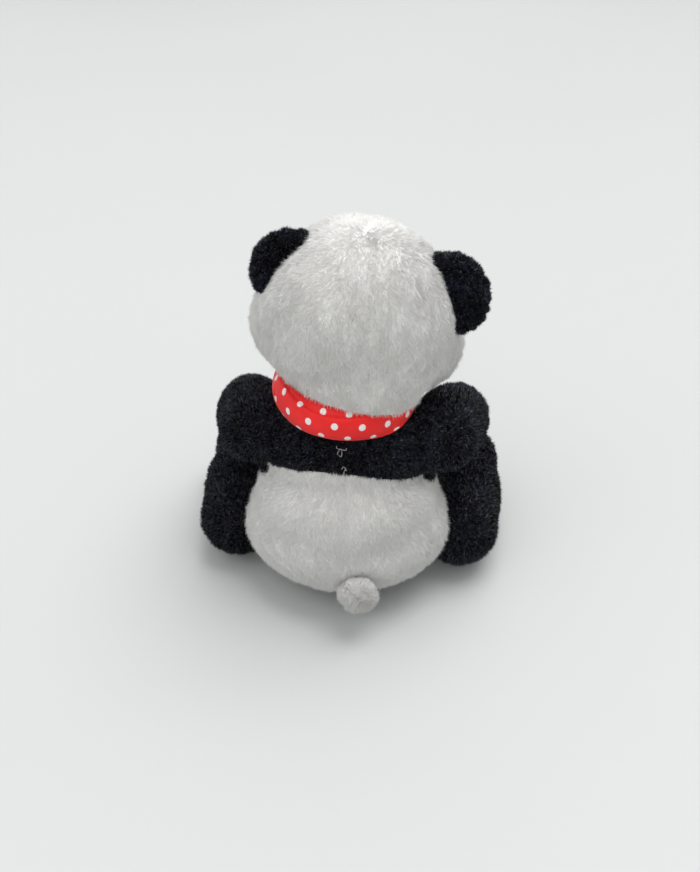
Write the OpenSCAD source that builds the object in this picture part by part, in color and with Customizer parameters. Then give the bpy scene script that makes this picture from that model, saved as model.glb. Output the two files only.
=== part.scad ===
// Seated plush panda keychain with a dotted neck scarf.
// Frame: +Z up, the face looks along -Y, +X is the panda's own left.
// The origin is on the table, under the middle of the seat.

/* [Body] */
// Half width of the seat
seat_w = 32.5; // [31:0.5:34]
// Half height of the seat
seat_h = 26.5; // [25.5:0.5:27.5]
// Half width of the chest
chest_w = 24; // [23:0.5:25]
// Height of the seam between the white seat and the black yoke, at the back
seam_z = 48; // [46:0.5:50]
// Thickness of the pile fabric
skin_t = 1.4; // [1.0:0.1:1.8]

/* [Head] */
// Half width of the head
head_w = 30; // [28.5:0.5:30.5]
// Half depth and half height of the head
head_r = 27; // [26:0.5:27.5]
// Height of the middle of the head
head_z = 82.5; // [82:0.5:84]
// Sideways lean of the head
head_roll = 10; // [0:1:12]
// Radius of an ear
ear_r = 12; // [11:0.25:12.5]

/* [Limbs] */
// Radius of the shoulder
shoulder_r = 12; // [11:0.25:12.25]
// Radius of the hip
hip_r = 12.8; // [12:0.2:13.2]
// Radius of the tail
tail_r = 5.5; // [4.5:0.25:6]

/* [Scarf] */
// Radius of the scarf's roll round the neck
scarf_r = 20.5; // [19.5:0.25:21.5]
// Half thickness of the rolled scarf
scarf_t = 4.8; // [4.4:0.1:5]

/* [Key hardware] */
// Inside radius of the split ring
ring_in_r = 10.1; // [9.5:0.1:10.6]
// Outside radius of the split ring
ring_out_r = 12; // [11.5:0.1:12.5]
// Axial height of the two coils of the split ring
ring_h = 2.7; // [2.4:0.1:2.8]
// Radius of the chain wire
wire_r = 0.55; // [0.45:0.05:0.55]

/* [Hidden] */

LEFT = 1;
RIGHT = -1;
SIDES = [LEFT, RIGHT];

// Gap between soft pieces on different bodies
gap = 0.35;
// Gap between touching pieces of one body
touch = 0.05;
// Facets of the round forms, of the rooms cut for the limbs, and of the plain stuffing inside the torso
$round_fn = 64;
clear_fn = 40;
stuffing_fn = 26;

// Torso
seat_c = [0, 11, 23];
seat_d = 27;
belly_c = [0, -1, 24];
belly_r = [20, 19.5, 22];
shoulders_c = [0, 14, 47];
shoulders_d = 13.5;
chest_h = 20;
chest_c = [0, 4, 46];
chest_r = [15.3, 19, 20];
seam_arch_r = 42;
seam_x = 3;

// Head pivot, and the spherical neck joint around it
head_c = [-2, -2, head_z];
collar_in_r = 29.3;
collar_out_r = 30.3;
cup_r = 30.8;
collar_from = 18;
collar_to = 32;

// Ears, placed on the head by angles
ear_out = 26.3;
ear_tilt = 60;
ear_turn = 6;
ear_twist = 16;
ear_thick = 3.4;
ear_seat_r = 30.7;

// Face
eye_turn = 22;
eye_lift = 5;
eye_r = 3.2;
eye_flat = 1.3;
stem_r = 1.1;
stem_in = 6;
washer_r = 4;
washer_in = 1.9;
washer_t = 1;
patch_t = 1;
muzzle_c = [0, -23.5, -8];
muzzle_r = [10, 8.5, 7.5];
nose_c = [0, -31.4, -4.8];
nose_r = [3.8, 2.2, 2.6];

// Limbs: a ball at the root, a long middle and a ball at the end
function shoulder_c(side) = [side * 27, 5, 48];
arm_mid = [2, -11, -4.5];
arm_end = [4, -22, -9];
arm_mid_r = 12.2;
arm_half = 24.5;
paw_r = 11.2;
arm_clear_r = 13.6;
arm_root_clear_r = 13.2;
arm_lift_max = 25;

function hip_c(side) = [side * 34, 6, 13.3];
leg_mid = [3, -16, -1.5];
leg_end = [1.5, -34, -0.6];
leg_mid_r = 11;
leg_half = 26;
foot_r = 12;
leg_clear_y = -9;
leg_clear_r = 13.8;

tail_root = [-5, 34.2, 12.8];
tail_out = 4.4;
tail_up = 0.6;
tail_wag_max = 12;
tail_wag_room = 0.95;

// Scarf
scarf_c = [1, 1.5, 60.5];
// The scarf sits lower at the throat than at the nape
scarf_pitch = 8;
scarf_roll = 3;
scarf_scale = [0.82, 0.97, 1.15];
scarf_clear_r = 30.7;
knot_c = [0, -23, 57.5];
knot_r = [6, 4, 4];
tail_tab_t = 1;

// Key hardware, hanging straight down in front of the belly
hang_y = -24;
loop_top_z = 53.2;
loop_w = 4;
loop_t = 0.7;
loop_half = 1.05;
loop_drop = 7.2;
hook = 2 * wire_r + touch;
jump_r = 4.3;
// How far the ring's top stands over the loop's bottom, where the ring bears on the loop's two edges
jump_sag = 0.6;
link_r = 2.3;
link_len = 5.5;
jump_top_z = loop_top_z - loop_drop + loop_t + wire_r + jump_sag;
jump_low_z = jump_top_z - 2 * jump_r;
link1_top_z = jump_low_z + hook;
link1_low_z = link1_top_z - link_len;
link2_top_z = link1_low_z + hook;
link2_low_z = link2_top_z - link_len;
link3_top_z = link2_low_z + hook;
link3_low_z = link3_top_z - link_len;
link_in_r = link_r - wire_r;
ring_rest_z = link3_low_z + link_r - sqrt(pow(link_in_r, 2) - pow(ring_h / 2, 2)) + 2 * touch;
ring_c = [0, hang_y, ring_rest_z - ring_in_r];

// ---- helpers ----

// An ellipsoid with half sizes r, grown by g
module ellipsoid(c, r, g = 0)
    translate(c) scale([r[0] + g, r[1] + g, r[2] + g]) sphere(r = 1, $fn = $round_fn);

module ball(c, r) translate(c) sphere(r = r, $fn = $round_fn);

// Turns the +Z axis onto the direction d
module aim(d) {
    turn = atan2(d[1], d[0]);
    tilt = acos(d[2] / norm(d));
    rotate([0, 0, turn]) rotate([0, tilt, 0]) children();
}

module on_side(side) mirror([side == LEFT ? 0 : 1, 0, 0]) children();

// ---- torso ----

// Room for the arm, at rest or lifted
module arm_clear(side, g, lift = 0)
    translate(shoulder_c(side)) rotate([-lift, 0, 0]) {
        sphere(r = shoulder_r + gap + g, $fn = min($round_fn, clear_fn));
        on_side(side) {
            translate(arm_mid / 2) sphere(r = arm_root_clear_r + g, $fn = min($round_fn, clear_fn));
            translate(arm_mid) sphere(r = arm_clear_r + g, $fn = min($round_fn, clear_fn));
        }
    }

// Room for the leg over its whole swing
module leg_clear(side, g)
    translate(hip_c(side)) {
        sphere(r = hip_r + gap + g, $fn = min($round_fn, clear_fn));
        translate([0, leg_clear_y, 0]) sphere(r = leg_clear_r + g, $fn = min($round_fn, clear_fn));
    }

// Room for the tail over its whole wag
module tail_clear(g)
    translate(tail_root + [0, tail_out, tail_up])
        sphere(r = tail_r + gap + tail_wag_room + g, $fn = min($round_fn, clear_fn));

module torso_form(g)
    difference() {
        union() {
            ellipsoid(seat_c, [seat_w, seat_d, seat_h], g);
            ellipsoid(belly_c, belly_r, g);
            ellipsoid(chest_c, chest_r, g);
            ellipsoid(shoulders_c, [chest_w, shoulders_d, chest_h], g);
        }
        ball(head_c, cup_r - g);
        for (side = SIDES) {
            arm_clear(side, -g);
            leg_clear(side, -g);
        }
        tail_clear(-g);
        translate([-60, -60, -120 - g]) cube(120);
    }

module torso_shell() difference() { torso_form(0); torso_form(-skin_t); }

// Everything under the arched seam
module under_seam()
    translate([seam_x, 70, seam_z - seam_arch_r])
        rotate([90, 0, 0]) cylinder(r = seam_arch_r, h = 140, $fn = 96);

module seat_skin() color("whitesmoke") intersection() { torso_shell(); under_seam(); }
module yoke_skin() color([0.06, 0.06, 0.08]) difference() { torso_shell(); under_seam(); }
module torso_stuffing() color("ivory") torso_form(-skin_t - gap, $round_fn = stuffing_fn);

module closing_stitches()
    color("gainsboro")
        intersection() {
            difference() { torso_form(0.6); torso_form(touch); }
            for (step = [0 : 2])
                translate([-1.8, 20, 49.5 + 2.4 * step]) rotate([0, 20 - 20 * step, 0]) cube([3.6, 20, 0.6]);
        }

// ---- scarf ----

module neck_space() {
    ball(head_c, scarf_clear_r);
    torso_form(0.25);
    for (side = SIDES, lift = [0, arm_lift_max]) arm_clear(side, 0, lift);
}

module scarf_band()
    color("red")
        difference() {
            translate(scarf_c) rotate([scarf_pitch, -scarf_roll, 0]) scale(scarf_scale)
                rotate_extrude($fn = 128) translate([scarf_r, 0]) circle(r = scarf_t, $fn = 64);
            neck_space($round_fn = 160);
            ellipsoid(knot_c, knot_r, touch);
        }

module scarf_knot()
    color("red") difference() { ellipsoid(knot_c, knot_r); ball(head_c, cup_r); }

// A short flat scarf end, wider at its tip, hanging outwards from the knot
module scarf_tail(side)
    color("red")
        on_side(side)
            translate([4.2, knot_c[1] - 1.5, knot_c[2] - 4.6]) rotate([90, 0, 0])
                linear_extrude(tail_tab_t, center = true)
                    polygon([[0, 0], [4.5, 1], [12.5, -9], [8, -11.5], [2.5, -10]]);

module neck_collar()
    color([0.06, 0.06, 0.08])
        translate(head_c)
            rotate_extrude($fn = 96)
                intersection() {
                    difference() { circle(r = collar_out_r, $fn = 96); circle(r = collar_in_r, $fn = 96); }
                    polygon([[0, 0], 60 * [sin(collar_from), -cos(collar_from)], 60 * [sin(collar_to), -cos(collar_to)]]);
                }

// ---- head ----

module head_pose() translate(head_c) rotate([0, -head_roll, 0]) children();
module head_form(g) ellipsoid([0, 0, 0], [head_w, head_r, head_r], g);

// The eye's own axis: -Y points out of the face
module eye_axis(side) rotate([0, 0, side * eye_turn]) rotate([-eye_lift, 0, 0]) children();

// A cylinder on the eye's axis, from depth near to depth far under the fabric
module eye_bore(side, r, near, far)
    eye_axis(side) translate([0, -head_r + near, 0]) rotate([-90, 0, 0]) cylinder(r = r, h = far - near, $fn = 32);

module head_skin()
    color("white")
        head_pose() difference() {
            head_form(0);
            head_form(-skin_t);
            for (side = SIDES) eye_bore(side, stem_r + touch, -4, stem_in);
        }

module head_stuffing()
    color("ivory")
        head_pose() difference() {
            head_form(-skin_t - touch);
            for (side = SIDES) {
                eye_bore(side, stem_r + touch, -4, stem_in + 0.5);
                eye_bore(side, washer_r + touch, -4, washer_in + washer_t + 0.2);
            }
        }

module eye_patch(side)
    color([0.06, 0.06, 0.08])
        head_pose() difference() {
            intersection() {
                head_form(patch_t);
                eye_axis(side) rotate([90, 0, 0]) rotate([0, 0, side * 25]) translate([0, -1, 0])
                    scale([6, 8, 1]) cylinder(r = 1, h = 40, $fn = 48);
            }
            head_form(touch);
            eye_bore(side, stem_r + touch, -6, stem_in);
            eye_bore(side, eye_r + touch, -6, touch - eye_flat);
            ellipsoid(muzzle_c, muzzle_r, 0.3);
        }

// A domed button on a stem, turned about the eye's axis
module eye(side)
    color([0.02, 0.02, 0.02])
        head_pose() eye_axis(side) translate([0, -head_r, 0]) rotate([90, 0, 0])
            rotate_extrude($fn = 64) {
                intersection() {
                    circle(r = eye_r, $fn = 64);
                    translate([0, eye_flat]) square(eye_r);
                }
                translate([0, -stem_in]) square([stem_r, stem_in + eye_flat + 0.5]);
            }

module eye_washer(side)
    color("white")
        head_pose() difference() {
            eye_bore(side, washer_r, washer_in, washer_in + washer_t);
            eye_bore(side, stem_r + touch, 0, stem_in);
        }

module muzzle_form(g) ellipsoid(muzzle_c, muzzle_r, g);
module muzzle() color("white") head_pose() difference() { muzzle_form(0); head_form(touch); }
module nose() color([0.02, 0.02, 0.02]) head_pose() difference() { ellipsoid(nose_c, nose_r); muzzle_form(touch); }

// An embroidered line down from the nose that splits into two curves
module mouth_line() {
    translate([-0.3, -10]) square([0.6, 4]);
    for (side = SIDES)
        translate([side * 3, -10]) intersection() {
            difference() { circle(r = 3.3, $fn = 48); circle(r = 2.7, $fn = 48); }
            translate([-4, -4]) square([8, 4]);
        }
}

module mouth_stitches()
    color([0.02, 0.02, 0.02])
        head_pose() difference() {
            intersection() {
                muzzle_form(0.5);
                translate([0, -24, 0]) rotate([90, 0, 0]) linear_extrude(12) mouth_line();
            }
            muzzle_form(touch);
            ellipsoid(nose_c, nose_r, 0.1);
        }

// A thick disc with a round rim, standing on the head and cut to its curve
module ear(side)
    color([0.06, 0.06, 0.08])
        head_pose() on_side(side) difference() {
            rotate([0, 0, ear_turn]) rotate([0, ear_tilt, 0]) translate([0, 0, ear_out])
                rotate([90, 0, ear_twist])
                    rotate_extrude($fn = 64) {
                        translate([0, -ear_thick]) square([ear_r - ear_thick, 2 * ear_thick]);
                        intersection() {
                            translate([ear_r - ear_thick, 0]) circle(r = ear_thick, $fn = 48);
                            translate([0, -ear_thick]) square([ear_r, 2 * ear_thick]);
                        }
                    }
            ball([0, 0, 0], ear_seat_r);
        }

// ---- limbs ----

module limb(root, root_r, mid, mid_r, half, end, end_r, g)
    translate(root) {
        sphere(r = root_r + g, $fn = $round_fn);
        translate(mid) aim(end) scale([mid_r + g, mid_r + g, half + g]) sphere(r = 1, $fn = $round_fn);
        translate(end) sphere(r = end_r + g, $fn = $round_fn);
    }

// The left limb mirrored for the right side, with its own root
module arm_form(side, g)
    translate(shoulder_c(side)) on_side(side)
        limb([0, 0, 0], shoulder_r, arm_mid, arm_mid_r, arm_half, arm_end, paw_r, g);

module leg_form(side, g)
    translate(hip_c(side)) on_side(side)
        limb([0, 0, 0], hip_r, leg_mid, leg_mid_r, leg_half, leg_end, foot_r, g);

module arm_skin(side) color([0.06, 0.06, 0.08]) difference() { arm_form(side, 0); arm_form(side, -skin_t); }
module arm_stuffing(side) color("ivory") arm_form(side, -skin_t - touch);
module leg_skin(side) color([0.06, 0.06, 0.08]) difference() { leg_form(side, 0); leg_form(side, -skin_t); }
module leg_stuffing(side) color("ivory") leg_form(side, -skin_t - touch);

module tail() color("white") ball(tail_root + [0, tail_out, tail_up], tail_r);

// ---- key hardware ----

// A folded ribbon seen along X: two straight sides and a round bottom
module loop_outline(half, drop)
    union() {
        translate([-half, -drop + half]) square([2 * half, drop - half]);
        translate([0, -drop + half]) circle(r = half, $fn = 48);
    }

module ribbon_loop()
    color("black")
        translate([-loop_w / 2, hang_y, loop_top_z]) rotate([90, 0, 90])
            linear_extrude(loop_w)
                difference() {
                    loop_outline(loop_half + loop_t, loop_drop);
                    translate([0, -loop_t]) loop_outline(loop_half, loop_drop - 2 * loop_t);
                }

module jump_ring()
    color("silver")
        translate([0, hang_y, jump_top_z - jump_r]) rotate([90, 0, 0])
            rotate_extrude($fn = 64) translate([jump_r, 0]) circle(r = wire_r, $fn = 24);

// An oval wire link hanging in the XZ plane from a wire at top_z
module link(top_z, turn)
    color("silver")
        translate([0, hang_y, top_z]) rotate([0, 0, turn]) rotate([90, 0, 0]) {
            for (end = [0, 1])
                translate([0, -link_r - end * (link_len - 2 * link_r)])
                    rotate([0, 0, end * 180])
                        rotate_extrude(angle = 180, $fn = 48) translate([link_r, 0]) circle(r = wire_r, $fn = 24);
            for (side = SIDES)
                translate([side * link_r, -link_r, 0]) rotate([90, 0, 0])
                    cylinder(r = wire_r, h = link_len - 2 * link_r, $fn = 24);
        }

// A stretch of a flat ring, from one angle to another, made narrower by inset
module ring_arc(from, to, low, high, inset = 0)
    rotate([0, 0, from])
        rotate_extrude(angle = to - from, $fn = 96)
            translate([ring_in_r + inset, low]) square([ring_out_r - ring_in_r - 2 * inset, high - low]);

// Two flat coils joined by a step, with a free end on each face
module split_ring() {
    coil_gap = 0.2;
    coil_h = (ring_h - coil_gap) / 2;
    step_end = 24;
    slot = 8;
    color("silver")
        translate(ring_c) rotate([90, 180, 0]) translate([0, 0, -ring_h / 2]) {
            ring_arc(0, 360 - slot, 0, coil_h);
            ring_arc(step_end + slot, 360 + step_end, coil_h + coil_gap, ring_h);
            ring_arc(2, step_end - 2, coil_h / 2, ring_h - coil_h / 2, 0.15);
        }
}

// ---- the parts ----

seat_skin();
yoke_skin();
torso_stuffing();
closing_stitches();
scarf_band();
scarf_knot();
scarf_tail(LEFT);  // scarf_tail_left
scarf_tail(RIGHT);  // scarf_tail_right
neck_collar();
head_skin();
head_stuffing();
muzzle();
nose();
mouth_stitches();
eye_patch(LEFT);  // eye_patch_left
eye_patch(RIGHT);  // eye_patch_right
eye(LEFT);  // eye_left
eye(RIGHT);  // eye_right
eye_washer(LEFT);  // eye_washer_left
eye_washer(RIGHT);  // eye_washer_right
ear(LEFT);  // ear_left
ear(RIGHT);  // ear_right
arm_skin(LEFT);  // arm_skin_left
arm_skin(RIGHT);  // arm_skin_right
arm_stuffing(LEFT);  // arm_stuffing_left
arm_stuffing(RIGHT);  // arm_stuffing_right
leg_skin(LEFT);  // leg_skin_left
leg_skin(RIGHT);  // leg_skin_right
leg_stuffing(LEFT);  // leg_stuffing_left
leg_stuffing(RIGHT);  // leg_stuffing_right
tail();
ribbon_loop();
jump_ring();
link(link1_top_z, 90);  // chain_link_1
link(link2_top_z, 0);  // chain_link_2
link(link3_top_z, 90);  // chain_link_3
split_ring();
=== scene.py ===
"""Looks of the seated plush panda keychain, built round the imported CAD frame.

Lengths are in millimetres and angles in degrees, unless a name says otherwise. Soft forms are
made at ten times their size, which suits the cloth solver, and end in metres.
"""

import math

import bmesh
import bpy
import numpy as np
from mathutils import Matrix, Vector
from mathutils.bvhtree import BVHTree

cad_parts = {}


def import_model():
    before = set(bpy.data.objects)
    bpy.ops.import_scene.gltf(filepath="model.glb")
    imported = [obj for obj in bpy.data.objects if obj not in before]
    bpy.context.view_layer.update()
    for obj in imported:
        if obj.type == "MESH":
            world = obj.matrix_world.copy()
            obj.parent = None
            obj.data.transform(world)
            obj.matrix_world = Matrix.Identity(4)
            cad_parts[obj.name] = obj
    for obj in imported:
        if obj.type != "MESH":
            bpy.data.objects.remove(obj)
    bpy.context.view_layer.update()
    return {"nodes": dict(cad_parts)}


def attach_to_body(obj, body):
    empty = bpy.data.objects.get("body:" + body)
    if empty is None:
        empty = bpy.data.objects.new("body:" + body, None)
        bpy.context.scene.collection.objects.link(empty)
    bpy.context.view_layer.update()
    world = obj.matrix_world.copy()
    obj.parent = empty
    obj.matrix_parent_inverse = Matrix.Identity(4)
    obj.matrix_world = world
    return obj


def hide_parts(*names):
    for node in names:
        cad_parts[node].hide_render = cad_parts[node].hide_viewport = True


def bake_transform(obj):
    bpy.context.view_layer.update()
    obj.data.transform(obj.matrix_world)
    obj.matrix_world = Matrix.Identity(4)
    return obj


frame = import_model()

MM = 0.001
WORK = 0.01
SIDES = {"left": 1, "right": -1}
UP = np.array([0.0, 0.0, 1.0])

# Places and sizes shared with part.scad
HEAD_C = (-2, -2, 82.5)
HEAD_ROLL = 10
HEAD_R = (30, 27, 27)
# The right cheek is the fuller one
CHEEK_X = (14.5, -16.3)
TORSO = [
    ((0, 11, 19), (32.5, 27, 19.5)),
    ((0, 11, 29), (29, 25.5, 20.5)),
    ((0, -1, 24), (20, 19.5, 22)),
    ((0, 4, 46), (15.3, 19, 20)),
    ((0, 14, 47), (24, 13.5, 20)),
]
SEAM_R, SEAM_X, SEAM_Z = 42, 3, 6
SHOULDER = (27, 5, 48)
ARM_MID, ARM_END = (2, -11, -4.5), (4, -22, -9)
ARM_SIZES = (12, 12.2, 24.5, 11.2)
HIP = (34, 6, 13.3)
LEG_MID, LEG_END = (3, -16, -1.5), (1.5, -34, -0.6)
LEG_SIZES = (12.8, 11, 26, 12)
TAIL_C, TAIL_R = (-5, 38.6, 13.4), 5.5
TAIL_LIFT = 1.1
MUZZLE_C, MUZZLE_R = (0, -23.5, -8), (10, 8.5, 7.5)
NOSE_C = (0, -31.4, -4.8)
SCARF_C, SCARF_R, SCARF_PITCH, SCARF_ROLL = (1, 1.5, 60.5), 20.5, 8, 3
SCARF_SCALE = (0.82, 0.97, 1.15)
KNOT_C = (0, -23, 57.5)
HANG_Y, LOOP_TOP = -24, 53.2

# The pile stands up from the skin under it
WHITE_RISE, BLACK_RISE = 1.3, 0.9
SWELL = 0.7

# The pile looks this far for neighbours, and counts as inside one down to this depth
SEARCH, DEEP = 6, 5
# How squarely a point has to lie behind a face to count as inside
SQUARE = 0.85


# ---------------------------------------------------------------- meshes


def turn(x, y, z):
    """OpenSCAD's rotate([x, y, z]) as a 3x3 matrix."""
    rx, ry, rz = (Matrix.Rotation(math.radians(a), 3, k) for a, k in ((x, "X"), (y, "Y"), (z, "Z")))
    return rz @ ry @ rx


def spot(c, unit=MM):
    return Vector(c) * unit


def show(name, mesh):
    obj = bpy.data.objects.new(name, mesh)
    bpy.context.scene.collection.objects.link(obj)
    return obj


def mesh_of(name, points, faces, unit=MM, smooth=True):
    mesh = bpy.data.meshes.new(name)
    mesh.from_pydata([tuple(float(c) * unit for c in p) for p in points], [], faces)
    mesh.update()
    if smooth:
        mesh.shade_smooth()
    return show(name, mesh)


def points_of(obj, unit=WORK):
    flat = np.empty(len(obj.data.vertices) * 3)
    obj.data.vertices.foreach_get("co", flat)
    return flat.reshape(-1, 3) / unit


def set_points(obj, points, unit=WORK):
    obj.data.vertices.foreach_set("co", (points * unit).ravel())
    obj.data.update()


def normals_of(obj):
    flat = np.empty(len(obj.data.vertices) * 3)
    obj.data.vertices.foreach_get("normal", flat)
    return flat.reshape(-1, 3)


def freeze(obj):
    """Applies the modifiers."""
    bpy.context.view_layer.update()
    found = obj.evaluated_get(bpy.context.evaluated_depsgraph_get())
    mesh = bpy.data.meshes.new_from_object(found)
    obj.modifiers.clear()
    old, obj.data = obj.data, mesh
    bpy.data.meshes.remove(old)
    obj.data.shade_smooth()
    return obj


def modify(obj, kind, **settings):
    modifier = obj.modifiers.new(kind, kind)
    for key, value in settings.items():
        setattr(modifier, key, value)
    return freeze(obj)


def form(name, lumps, voxel, soften=5):
    """One closed skin round ellipsoids, each (centre, half sizes, 3x3 turn or nothing)."""
    bm = bmesh.new()
    for centre, half, *turned in lumps:
        place = Matrix.Translation(spot(centre, WORK))
        if turned:
            place = place @ turned[0].to_4x4()
        place = place @ Matrix.Diagonal((*(h * WORK for h in half), 1))
        bmesh.ops.create_icosphere(bm, subdivisions=5, radius=1, matrix=place)
    mesh = bpy.data.meshes.new(name)
    bm.to_mesh(mesh)
    bm.free()
    obj = show(name, mesh)
    modify(obj, "REMESH", mode="VOXEL", voxel_size=voxel * WORK)
    return modify(obj, "SMOOTH", factor=0.5, iterations=soften)


def inflate(obj, cap=SWELL):
    """Swells a skin with the cloth solver, no point by more than cap."""
    before = points_of(obj)
    modifier = obj.modifiers.new("Cloth", "CLOTH")
    cloth = modifier.settings
    cloth.use_pressure, cloth.uniform_pressure_force = True, 4
    cloth.effector_weights.gravity = 0
    cloth.quality = 5
    scene = bpy.context.scene
    for step in range(1, 21):
        scene.frame_set(step)
    freeze(obj)
    scene.frame_set(1)
    move = points_of(obj) - before
    size = np.linalg.norm(move, axis=1, keepdims=True)
    set_points(obj, before + move * np.minimum(1, cap / np.maximum(size, 1e-9)))
    return obj


def plush_form(name, lumps, voxel=2, soften=6):
    obj = inflate(form(name, lumps, voxel, soften))
    return modify(obj, "SUBSURF", levels=1, render_levels=1)


def shrunk(lumps, inset):
    return [(c, tuple(h - inset for h in half), *rest) for c, half, *rest in lumps]


def cut(obj, tool, operation="DIFFERENCE", keep_tool=False):
    modify(obj, "BOOLEAN", object=tool, operation=operation, solver="MANIFOLD")
    if not keep_tool:
        bpy.data.objects.remove(tool)
    return obj


def copy_of(obj, name, grow=0):
    made = show(name, obj.data.copy())
    if grow:
        set_points(made, points_of(made) + normals_of(made) * grow)
    return made


def half_space(point, normal, size=400):
    """A big block on the side of a plane that its normal points to."""
    bm = bmesh.new()
    way = Vector(normal).normalized()
    aim = way.to_track_quat("Z", "Y").to_matrix().to_4x4()
    place = Matrix.Translation((Vector(point) + way * size / 2) * WORK) @ aim
    bmesh.ops.create_cube(bm, size=size * WORK, matrix=place)
    mesh = bpy.data.meshes.new("half_space")
    bm.to_mesh(mesh)
    bm.free()
    return show("half_space", mesh)


def settle(obj):
    """From working units to metres."""
    obj.data.transform(Matrix.Scale(MM / WORK, 4))
    obj.data.update()
    return obj


def tree_of(obj):
    bm = bmesh.new()
    bm.from_mesh(obj.data)
    made = BVHTree.FromBMesh(bm)
    bm.free()
    return made


def field(points, scale, seed):
    """A smooth vector noise from about -1 to 1, with features about scale across."""
    rng = np.random.default_rng(seed)
    out = np.zeros((len(points), 3))
    for _ in range(5):
        ways = rng.normal(size=(3, 3)) * 2.2 / scale
        out += np.sin(points @ ways.T + rng.uniform(0, 2 * np.pi, 3))
    return out / 2.4


def unit_rows(v):
    return v / np.maximum(np.linalg.norm(v, axis=1, keepdims=True), 1e-9)


def triangle_mesh(name, points, faces, normals):
    mesh = bpy.data.meshes.new(name)
    mesh.vertices.add(len(points))
    mesh.vertices.foreach_set("co", (points * MM).ravel())
    mesh.loops.add(faces.size)
    mesh.loops.foreach_set("vertex_index", faces.ravel().astype(np.int32))
    mesh.polygons.add(len(faces))
    mesh.polygons.foreach_set("loop_start", np.arange(0, faces.size, 3, dtype=np.int32))
    mesh.update(calc_edges=True)
    mesh.validate()
    mesh.shade_smooth()
    mesh.normals_split_custom_set_from_vertices(normals.tolist())
    return show(name, mesh)


# ---------------------------------------------------------------- pile


def roots_on(obj, count, rng, region):
    """Places spread evenly over a mesh in metres, in mm, with their normals."""
    mesh = obj.data
    mesh.calc_loop_triangles()
    tris = np.empty(len(mesh.loop_triangles) * 3, dtype=np.int32)
    mesh.loop_triangles.foreach_get("vertices", tris)
    tris = tris.reshape(-1, 3)
    points, normals = points_of(obj, MM), normals_of(obj)
    a, b, c = (points[tris[:, k]] for k in range(3))
    area = np.linalg.norm(np.cross(b - a, c - a), axis=1)
    if region:
        area = area * region((a + b + c) / 3)
    pick = rng.choice(len(area), count, p=area / area.sum())
    u, v = rng.random((2, count, 1))
    u, v = np.where(u + v > 1, 1 - u, u), np.where(u + v > 1, 1 - v, v)
    w = 1 - u - v
    at = w * a[pick] + u * b[pick] + v * c[pick]
    na, nb, nc = (normals[tris[pick, k]] for k in range(3))
    return at, unit_rows(w * na + u * nb + v * nc)


def clear_of(points, trees, reach):
    """True for points that are outside every tree's mesh and further than reach from it."""
    good = np.ones(len(points), bool)
    for tree in trees:
        for i in np.flatnonzero(good):
            where, normal, _, far = tree.find_nearest(Vector(points[i]) * MM, SEARCH * MM)
            if where is not None:
                # A point truly inside lies square behind its nearest face; one past a thin rim doesn't
                inside = (Vector(points[i]) * MM - where).normalized().dot(normal) < -SQUARE
                good[i] = far > reach * MM and not (inside and far < DEEP * MM)
    return good


def strands(
    name, base, count, length, width, comb, lean, curl, seed, avoid=(), reach=0.9, softness=0.7, region=None
):
    """Pile as fine tapered strands of real mesh, rooted on a finished base."""
    rng = np.random.default_rng(seed)
    count = count
    at, normal = roots_on(base, int(count * 1.25), rng, region)
    keep = clear_of(at, avoid, reach) & (at[:, 2] > 0.5)
    at, normal = at[keep][:count], normal[keep][:count]
    flow = np.asarray(comb(at), float)
    flow = flow - (flow * normal).sum(1, keepdims=True) * normal
    way = normal * (1 - lean) + unit_rows(flow) * lean + field(at, 9, seed) * 0.16
    way = unit_rows(way + field(at, 1.6, seed + 1) * curl + rng.normal(size=at.shape) * curl * 0.6)
    way += normal * np.maximum(0, 0.25 - (way * normal).sum(1, keepdims=True))
    size = length * rng.uniform(0.65, 1.1, (len(at), 1))
    side = unit_rows(np.cross(way, rng.normal(size=at.shape)))
    other = np.cross(way, side)
    ring = []
    for k in range(3):
        angle = 2 * np.pi * k / 3
        ring.append(at - normal * 0.25 + width * (math.cos(angle) * side + math.sin(angle) * other))
    tip = at + way * size
    tip[:, 2] = np.maximum(tip[:, 2], 0.15)
    points = np.stack([*ring, tip], axis=1).reshape(-1, 3)
    faces = np.array([[0, 1, 3], [1, 2, 3], [2, 0, 3], [2, 1, 0]])
    faces = (faces[None] + 4 * np.arange(len(at))[:, None, None]).reshape(-1, 3)
    shade = unit_rows(normal * softness + way * 0.25 + rng.normal(size=at.shape) * (1 - softness) * 0.5)
    return triangle_mesh(name, points, faces, np.repeat(shade, 4, axis=0))


def down(points):
    return np.tile(-UP, (len(points), 1)) + field(points, 14, 3) * 0.25


def over_seam(points):
    """Combed down, except that some of it along the seam lies up over the black edge."""
    near = np.exp(-((seam_far(points) / 1.3) ** 2))
    up = np.random.default_rng(7).random(len(points)) < 0.4 * near
    return down(points) * np.where(up, -1, 1)[:, None]


def swirl(points):
    return field(points, 5, 11)


# ---------------------------------------------------------------- materials


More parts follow.
